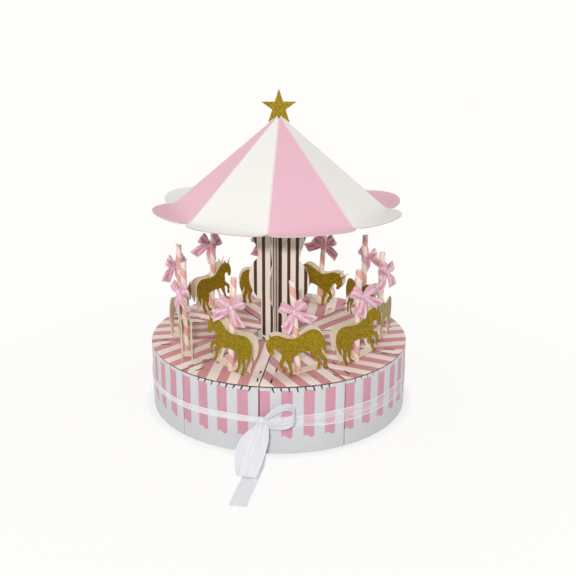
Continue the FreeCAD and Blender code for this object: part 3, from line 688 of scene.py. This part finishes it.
def makeStraws():
    tube = addShape("strawTube", bpy.ops.mesh.primitive_cylinder_add, vertices=straw["steps"],
                    radius=straw["radius"], depth=straw["rise"] + straw["depth"], end_fill_type="NOTHING",
                    location=(0, 0, (straw["rise"] - straw["depth"]) / 2))
    applied(tube, "SOLIDIFY", thickness=straw["wall"], offset=-1)
    softened(tube, straw["edge"], straw["sharp"])
    skin = straw["radius"] - straw["wall"] / 2

    def wound(spot, face):  # turns round the tube, and millimetres up it
        middle = math.atan2(face.center.y, face.center.x)
        turn = math.atan2(spot.y, spot.x)
        turn += 2 * math.pi * round((middle - turn) / (2 * math.pi))  # no jump at the seam of the angle
        return (turn / (2 * math.pi), spot.z / mm)

    def printed(face):
        return 0 if face.center.xy.length > skin and abs(face.normal.z) < 0.5 else 1

    layUv(tube, wound)
    paint(tube, [strawPaper(), boardWhite], printed)
    smoothed(tube, straw["smooth"])
    for index, number in enumerate(sliceNumbers):
        piece = copied(tube, "strawPole" + number,
                       strawPlace(index) @ Matrix.Rotation(straw["turn"] * index, 4, "Z"))
        seat(piece, "lid_" + number, "pole_straw_" + number)
    bpy.data.objects.remove(tube)
    print("straws:", len(sliceNumbers))


makeStraws()


# Bows: one length of pink satin ribbon tied round each straw; threads and streaks in millimetres and shares

bow = {"ribbon": 10 * mm, "thick": 0.3 * mm, "cut": (10 * mm, 125 * mm), "height": 69 * mm, "smooth": 50,
       "wing": 14 * mm, "wingRise": 34, "fan": 2.2 * mm, "depth": 6 * mm, "loopSteps": (44, 12),
       "tail": 23 * mm, "tailSlant": 4 * mm, "curl": 2 * mm, "twist": 1.4 * mm, "behind": 0.8 * mm,
       "tailSteps": (24, 8), "gather": 4.6 * mm, "pleat": 0.9 * mm, "pleats": 2.5,
       "loopOpens": 1.4, "loopFade": 1.3, "tailOpens": 1.8, "tailFade": 2,
       "knot": 5.4 * mm, "knotTall": 1.15, "crease": 0.08, "creases": 5,
       "collarGap": 25, "collarClear": 0.2 * mm, "collarPull": 1.2 * mm, "collarPinch": 0.3,
       "collarLong": 18 * mm, "collarSteps": (30, 4),
       "rise": [-3, 0, 5, 0, 1, 2, 7, 2, -5, -2],
       "turn": [-12, 4, -30, 15, 20, -15, 5, -35, 18, 12],
       "swing": [0, -30, 0, 0, 0, 0, -30, 0, 0, 0],
       "roll": [8, 3, -8, 5, 0, -6, 6, 0, -6, 0],
       "tails": [(64, -27), (62, -4), (35, -40), (20, -75), (74, -48),
                 (30, -30), (57, -10), (40, -25), (44, -18), (30, -58)],
       # streaks run from the ribbon's pink, set darker as painted shade, to near white as painted sheen
       "pink": "#D88FA6", "pale": "#FFEBF3", "glow": (1.0, 0.33, 0.39), "glowDeep": 0.8 * mm,
       "thread": 0.5, "threadBump": 0.12, "threadDeep": 0.05 * mm,
       "streakLong": 14.3, "streakWide": 0.385, "streakRange": (0.33, 0.69)}
bowFace = straw["radius"] + bow["knot"] / 2


def pinkSatinPaintedSheen():  # woven satin: its sheen and fold shade are painted as streaks, and thin ribbon glows rosy
    material, tree, shader = newMaterial("pink satin ribbon", {
        "Roughness": 0.34, "Sheen Weight": 0.25, "Sheen Roughness": 0.4, "Subsurface Weight": 0.4,
        "Subsurface Radius": bow["glow"], "Subsurface Scale": bow["glowDeep"]})
    weave(tree, shader, bow)
    tone = addNode(tree, "ShaderNodeMix", {0: streaks(tree, bow, 0.0, 1.0), 6: linear(bow["pink"]),
                                          7: linear(bow["pale"])}, data_type="RGBA")
    tree.links.new(tone.outputs[2], shader.inputs["Base Color"])
    return material


def gathered(opened, faded, edge):  # place across the ribbon and depth of its pleats, as it leaves the knot
    half = (bow["gather"] + (bow["ribbon"] - bow["gather"]) * eased(opened)) / 2
    return half * edge, bow["pleat"] * faded * math.cos(bow["pleats"] * math.pi * edge)


def bowLoop(side, degrees):
    rise = math.radians(degrees)
    along = Vector((0, side * math.cos(rise), math.sin(rise)))
    across = Vector((0, -side * math.sin(rise), math.cos(rise)))

    def rule(s, t):
        share = (1 - math.cos(2 * math.pi * s)) / 2  # 0 at the knot and 1 at the loop's end
        front = math.sin(2 * math.pi * s)  # 1 in the front layer and -1 in the back one
        spread, fold = gathered(bow["loopOpens"] * share, (1 - share) ** bow["loopFade"], 2 * t - 1)
        spread += bow["fan"] * front * share
        deep = bow["depth"] / 2 * front * math.sqrt(share) + fold
        return Vector((bowFace + deep, 0, 0)) + along * (bow["wing"] * share) + across * spread

    return shapedGrid("bowLoop", bow["loopSteps"], rule, 2 * bow["wing"])


def bowTail(degrees, depth):
    lean = math.radians(degrees)
    along = Vector((0, math.sin(lean), -math.cos(lean)))
    across = Vector((0, math.cos(lean), math.sin(lean)))

    def rule(s, t):
        edge = 2 * t - 1
        spread, fold = gathered(bow["tailOpens"] * s, (1 - s) ** bow["tailFade"], edge)
        length = s * (bow["tail"] - bow["tailSlant"] * (1 - edge) / 2)
        wave = bow["curl"] * math.sin(math.pi * s) + bow["twist"] * edge * s
        return along * length + across * spread + Vector((depth + fold + wave, 0, 0))

    return shapedGrid("bowTail", bow["tailSteps"], rule, bow["tail"])


def bowKnot():
    piece = addShape("bowKnot", bpy.ops.mesh.primitive_uv_sphere_add, segments=20, ring_count=12, radius=1)
    half = bow["knot"] / 2

    def rule(spot):  # creased where the ribbon wraps over it
        crease = 1 + bow["crease"] * math.cos(bow["creases"] * math.atan2(spot.y, spot.x))
        return Vector((bowFace + half * crease * spot.x, half * crease * spot.y,
                       bow["knotTall"] * half * spot.z))

    reshaped(piece, rule)
    layUv(piece, lambda spot, face: (spot.z / mm, spot.y / bow["knot"] + 0.5))
    return piece


def bowCollar():  # the turn round the straw
    def rule(s, t):
        angle = math.radians(bow["collarGap"] + (360 - 2 * bow["collarGap"]) * s)
        pull = eased(abs(2 * s - 1) * 4 - 3)  # the last eighth at either end runs into the knot
        reach = straw["radius"] + bow["collarClear"] + bow["thick"] + bow["collarPull"] * pull
        height = (t - 0.5) * bow["knot"] * (1 - bow["collarPinch"] * pull)
        return Vector((reach * math.cos(angle), reach * math.sin(angle), height))

    return shapedGrid("bowCollar", bow["collarSteps"], rule, bow["collarLong"])


def makeBows():
    satin = pinkSatinPaintedSheen()
    knotAt = Matrix.Translation((bowFace, 0, 0))
    for index, number in enumerate(sliceNumbers):
        tails = zip(bow["tails"][index], (bowFace + bow["behind"], bowFace - bow["behind"]))
        loops = [bowLoop(side, bow["wingRise"] + side * bow["roll"][index]) for side in (1, -1)]
        ties = joined("ties", loops + [bowTail(degrees, depth) for degrees, depth in tails])
        swing = Matrix.Rotation(math.radians(bow["swing"][index]), 4, "Z")
        ties.data.transform(knotAt @ swing @ knotAt.inverted())
        ties = joined("ties", [ties, bowCollar()])
        applied(ties, "SOLIDIFY", thickness=bow["thick"], offset=0, use_even_offset=True)
        piece = joined("satinBow" + number, [ties, bowKnot()])
        paint(piece, [satin])
        smoothed(piece, bow["smooth"])
        piece.data.transform(strawPlace(index)
                             @ Matrix.Translation((0, 0, bow["height"] + bow["rise"][index] * mm))
                             @ Matrix.Rotation(math.radians(bow["turn"][index]), 4, "Z"))
        seat(piece, "lid_" + number, "pole_bow_" + number)
    print("bows:", len(sliceNumbers))


makeBows()


# Column: two slotted card panels with printed brown and cream stripes, their period in millimetres

column = {"turn": -17, "period": 9.2, "brown": 0.38, "brownInk": "#4A2812", "creamInk": "#FBF1E8"}


def stripedColumnCard():  # coated card with flat ink and a soft sheen, as on the boxes
    material, tree, shader = newMaterial("boxboard with brown column stripes", {"Roughness": 0.5})
    mask = stripes(tree, printAxes(tree).outputs["X"], column["period"], column["brown"])[0]
    twoInks(tree, shader, mask, column["creamInk"], column["brownInk"], "coated")
    return material


def makeColumn():
    card = stripedColumnCard()
    for letter, azimuth in (("a", column["turn"] + 90), ("b", column["turn"])):
        piece = dressedCopy("column_panel_" + letter, "columnPanel" + letter.upper())
        along = ringTurn(azimuth).to_3x3() @ Vector((1, 0, 0))
        flat = along.cross((0, 0, 1))
        layUv(piece, lambda spot, face: (spot.dot(along) / mm, spot.z / mm))
        paint(piece, [card, boardCream], lambda face: 0 if abs(face.normal.dot(flat)) > 0.9 else 1)
        seat(piece, "stand", "column_panel_" + letter)
    print("column: two panels")


makeColumn()


# Canopy: one folded card, pink and white panels that flare into petals

canopy = {"panels": 8, "firstRidge": -5.5, "eave": 209.5 * mm, "tip": 300 * mm, "ridge": 110 * mm,
          "tipRadius": 3.4 * mm, "petal": 129.3 * mm, "petalLift": 3 * mm, "flare": 12 * mm,
          "leastFlare": 0.01 * mm, "card": 1 * mm, "foldStrip": 0.9 * mm, "foldShare": 0.4,
          "foldStart": 0.5 * mm, "panelShare": 0.68, "down": 38, "across": 18, "merge": 0.05 * mm,
          "smooth": 25, "pink": ("#F9CAD9", "#F4BFD0"), "white": ("#FEFDF7", "#F9F7EF"),
          # the grey-pink on the cut rim is painted shade on the card's white core
          "fold": ("#FDECEF", "#F8DFE4"), "cutEdgeShade": ("#D8C6C8", "#CDB9BC")}
halfPanel = math.pi / canopy["panels"]


def canopyPanel():
    creaseAt = canopy["ridge"] * math.cos(halfPanel)
    side = canopy["ridge"] * math.sin(halfPanel)
    tipAt = canopy["tipRadius"] * math.cos(halfPanel)
    slope = (canopy["tip"] - canopy["eave"]) / (creaseAt - tipAt)
    reach = canopy["petal"] - creaseAt
    bulge = (reach ** 2 + side ** 2) / (2 * reach)  # radius of the petal's rounded end
    stripShare = 2 / canopy["across"]

    def height(distance, crosswise):  # a straight slope that curves out into the petal
        zone = canopy["flare"] * (1 - crosswise ** 2) + canopy["leastFlare"]
        start = creaseAt - zone
        past = min(max(distance - start, 0), 2 * zone)
        level = canopy["tip"] - slope * (min(distance, start) - tipAt)
        level -= slope * (past - past ** 2 / (4 * zone))
        lap = canopy["card"] * eased(past / (2 * zone))  # the petal lies on the crease
        return level + lap + canopy["petalLift"] * (max(distance - creaseAt, 0) / reach) ** 2

    def rule(s, t):
        crosswise = 2 * t - 1
        if s <= canopy["panelShare"]:
            distance = tipAt + (creaseAt - tipAt) * s / canopy["panelShare"]
        else:
            petal = math.sqrt(bulge ** 2 - (crosswise * side) ** 2) - (bulge - reach)
            distance = creaseAt + max(petal, 0) * (s - canopy["panelShare"]) / (1 - canopy["panelShare"])
        width = math.tan(halfPanel) * min(distance, creaseAt)
        foldWide = min(canopy["foldStrip"], canopy["foldShare"] * width)
        if abs(crosswise) > 1 - stripShare:  # the outermost column is the narrow pale fold
            y = width - foldWide * (1 - abs(crosswise)) / stripShare
        else:
            y = (width - foldWide) * abs(crosswise) / (1 - stripShare)
        return Vector((distance, math.copysign(y, crosswise), height(distance, crosswise)))

    return shapedGrid("canopyPanel", (canopy["down"], canopy["across"]), rule)


def makeCanopy():
    cards = [plainCard("pink tinted card", *canopy["pink"], roughness=0.62),  # matt and evenly tinted
             plainCard("white smooth card", *canopy["white"]),
             plainCard("pale folded card edge", *canopy["fold"]),
             plainCard("cut card edge, painted shade", *canopy["cutEdgeShade"])]
    panel = canopyPanel()
    parts = []
    for step in range(canopy["panels"]):
        azimuth = canopy["firstRidge"] + math.degrees((2 * step + 1) * halfPanel)
        parts.append(copied(panel, "canopyPart", ringTurn(azimuth)))
    bpy.data.objects.remove(panel)
    whole = joined("canopyRoof", parts)
    makeActive(whole, "EDIT")
    bpy.ops.mesh.select_all(action="SELECT")
    bpy.ops.mesh.remove_doubles(threshold=canopy["merge"])
    bpy.ops.mesh.normals_make_consistent(inside=False)
    applied(whole, "SOLIDIFY", thickness=canopy["card"], offset=-1, use_even_offset=True)

    def tone(face):  # tinted outside, plain white inside, greyed where the card is cut as painted shade
        if face.normal.z < -0.3:
            return 1
        if face.normal.z < 0.3:
            return 3
        azimuth = math.atan2(face.center.x, -face.center.y) - math.radians(canopy["firstRidge"])
        panels = azimuth % (2 * math.pi) / (2 * halfPanel)
        fromRidge = face.center.xy.length * math.sin(min(panels % 1, 1 - panels % 1) * 2 * halfPanel)
        sloping = face.center.z > canopy["eave"] + canopy["foldStart"]
        return 2 if sloping and fromRidge < 0.7 * canopy["foldStrip"] else int(panels) % 2

    paint(whole, cards, tone)
    smoothed(whole, canopy["smooth"])
    seat(whole, "roof", "canopy")
    print("canopy:", len(whole.data.polygons), "faces")


makeCanopy()


# Sheer ribbon: round the ring, with its knot, two loops and a tail on the table; sizes in millimetres

ribbon = {"middle": 36, "radius": 135.65, "thick": 0.3, "smooth": 60, "knotTurn": -6.8, "tailTurn": -12,
          "knotFace": 137.0, "knotGap": 1.5, "knot": (7.0, 11.0, 11.5), "crease": 0.07, "creases": 6,
          "creaseTwist": 2, "knotShare": 0.3, "sideLean": 20, "widest": 18, "pleats": 3, "acrossSteps": 12,
          "bandWide": 14, "bandPleat": 0.35, "bandLift": 0.3, "bandSteps": (240, 8),
          "white": "#F2F3F8", "bandVeil": (0.16, 0.34), "loopVeil": (0.78, 0.92), "selvedge": 0.95,
          "selvedgeAt": 0.44, "gatherStart": 640, "gatherEnd": 750, "gatherVeil": 0.3,
          "thread": 0.9, "threadBump": 0.05, "threadDeep": 0.05 * mm,
          "streakLong": 50, "streakWide": 0.25, "streakRange": (0.35, 0.65)}
# height of the lower and upper edge, by degrees to the right of the knot
bandEdges = [(0, 32.0, 36.0), (10, 30.0, 39.5), (30, 27, 41), (240, 27, 41), (290, 29, 38.5),
             (317, 31, 37.2), (347, 33, 39.8), (360, 33, 38.5)]
# out from the ring, to the right, height and width
sideLoopPath = [(4, 2, 37, 6), (2.5, 10, 44.5, 8), (1.8, 20, 51, 9), (3, 28, 53, 10), (7, 33, 50, 12),
                (11.5, 31.5, 45, 14), (13, 24, 41, 14), (10, 12, 38, 12), (6, 3, 36.5, 7)]
hangingLoopPath = [(6, 1, 36, 8), (12, 2.5, 34.5, 14), (22, 3, 27, 16.5), (34, 1, 15, 17), (44, -2, 4.5, 17),
                   (47, -3.5, 2.4, 17), (44.5, -5, 2.0, 17), (36, -9, 5, 17), (25, -12, 14, 16),
                   (14, -9, 25, 12), (6, -2, 32.5, 6)]
tailPath = [(3, 0, 31, 6), (4.5, -0.5, 20, 9), (8, -1, 8, 13), (14, -1, 1.6, 15.5), (25, 0, 0.9, 16),
            (45, 0, 0.9, 16), (70, 0, 1.6, 16), (93, 0, 0.8, 16)]


def sheerOrganza(name, veil):  # open weave of white threads: a veil, denser in its folds and at its edges
    material, tree, shader = newMaterial(name, {"Base Color": linear(ribbon["white"]), "Roughness": 0.45})
    axes = printAxes(tree)
    edge = addNode(tree, "ShaderNodeMath", {0: axes.outputs["Y"], 1: 0.5}, operation="SUBTRACT")
    edge = addNode(tree, "ShaderNodeMath", {0: edge}, operation="ABSOLUTE")
    edge = addNode(tree, "ShaderNodeMath", {0: edge, 1: ribbon["selvedgeAt"]}, operation="GREATER_THAN")
    edge = addNode(tree, "ShaderNodeMath", {0: edge, 1: ribbon["selvedge"]}, operation="MULTIPLY")
    # denser where the band is pulled narrow near the knot
    gather = addNode(tree, "ShaderNodeMapRange", {"Value": axes.outputs["X"],
                                                 "From Min": ribbon["gatherStart"],
                                                 "From Max": ribbon["gatherEnd"],
                                                 "To Min": 0.0, "To Max": ribbon["gatherVeil"]})
    cover = addNode(tree, "ShaderNodeMath", {0: streaks(tree, ribbon, *veil), 1: gather}, operation="ADD")
    alpha = addNode(tree, "ShaderNodeMath", {0: cover, 1: edge}, operation="MAXIMUM")
    tree.links.new(alpha.outputs[0], shader.inputs["Alpha"])
    weave(tree, shader, ribbon)
    return material


def ribbonPlace():  # at the knot, with X out along the tail, Y to the right and Z up
    knot = ringTurn(ribbon["knotTurn"]) @ Vector((ribbon["knotFace"] * mm, 0, 0))
    return Matrix.Translation(knot) @ ringTurn(ribbon["tailTurn"])


def strip(name, path, across, steps, pleat):
    spots, length = evenSteps(path, steps)

    def rule(s, t):
        index = round(s * steps)
        spot = spots[index]
        edge = 2 * t - 1
        along = (spots[min(index + 1, steps)] - spots[max(index - 1, 0)]).xyz.normalized()
        narrow = 1 - spot.w / ribbon["widest"]  # the folds are deep where it is gathered
        fold = pleat * narrow * math.cos(ribbon["pleats"] * math.pi * edge)
        return (spot.xyz + across * (edge * spot.w / 2) + along.cross(across) * fold) * mm

    piece = shapedGrid(name, (steps, ribbon["acrossSteps"]), rule, length * mm)
    applied(piece, "SOLIDIFY", thickness=ribbon["thick"] * mm, offset=0)
    return piece, length * mm


def makeBand():
    def rule(s, t):
        offset = ribbon["knotGap"] + (360 - 2 * ribbon["knotGap"]) * s
        low, high = between(bandEdges, offset)
        narrow = 1 - (high - low) / ribbon["bandWide"]
        fold = ribbon["bandPleat"] * narrow * math.cos(ribbon["pleats"] * math.pi * (2 * t - 1))
        reach = ribbon["radius"] + fold + ribbon["bandLift"] * narrow
        spot = Vector((reach * mm, 0, (low + (high - low) * t) * mm))
        return ringTurn(ribbon["knotTurn"] + offset) @ spot

    length = 2 * math.pi * ribbon["radius"] * mm
    piece = shapedGrid("ribbonBand", ribbon["bandSteps"], rule, length)
    applied(piece, "SOLIDIFY", thickness=ribbon["thick"] * mm, offset=0)
    return piece, length


def makeKnot():
    piece = addShape("ribbonKnot", bpy.ops.mesh.primitive_uv_sphere_add, segments=32, ring_count=20,
                     radius=1)
    deep, wide, tall = [value / 2 * mm for value in ribbon["knot"]]

    def rule(spot):  # pulled-in folds that run over the knot
        turn = ribbon["creases"] * math.atan2(spot.y, spot.x) + ribbon["creaseTwist"] * spot.z
        crease = 1 + ribbon["crease"] * math.cos(turn)
        return Vector((deep + deep * crease * spot.x, wide * crease * spot.y,
                       tall * spot.z + ribbon["middle"] * mm))

    reshaped(piece, rule)
    layUv(piece, lambda spot, face: (spot.z / mm, 0.5 + ribbon["knotShare"] * spot.y / wide))
    return piece


def makeRibbon():
    flat = sheerOrganza("sheer organza ribbon, pulled flat", ribbon["bandVeil"])
    folded = sheerOrganza("sheer organza ribbon, in folds", ribbon["loopVeil"])
    knot = makeKnot()
    lean = math.radians(ribbon["sideLean"])
    upright = Vector((math.sin(lean), 0, math.cos(lean)))
    level = Vector((0, 1, 0))
    side = strip("ribbonLoopSide", sideLoopPath, upright, steps=60, pleat=0.8)
    hanging = strip("ribbonLoopFront", hangingLoopPath, level, steps=72, pleat=1.1)
    tail = strip("ribbonTail", tailPath, level, steps=56, pleat=0.6)
    band = makeBand()
    for piece in (knot, side[0], hanging[0], tail[0]):
        piece.data.transform(ribbonPlace())
    rows = [(band, "ribbon_band", 14, "gathered", ["boxTray01", "boxTray10"]),
            (side, "ribbon_loop_side", 14, "folded", ["ribbonKnot"]),
            (hanging, "ribbon_loop_front", 18, "hung", ["ribbonKnot"]),
            (tail, "ribbon_tail", 16, "laid", ["ribbonKnot"])]
    for (piece, length), node, width, held, under in rows:
        paint(piece, [flat if node == "ribbon_band" else folded])
        smoothed(piece, ribbon["smooth"])
        seat(piece, "stand", node)
        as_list(under)
    band[0].visible_shadow = False  # one flat layer of organza passes nearly all light on
    paint(knot, [folded])
    smoothed(knot, ribbon["smooth"])
    seat(knot, "stand", "ribbon_knot")
    print("ribbon: band, knot, two loops and tail")


makeRibbon()
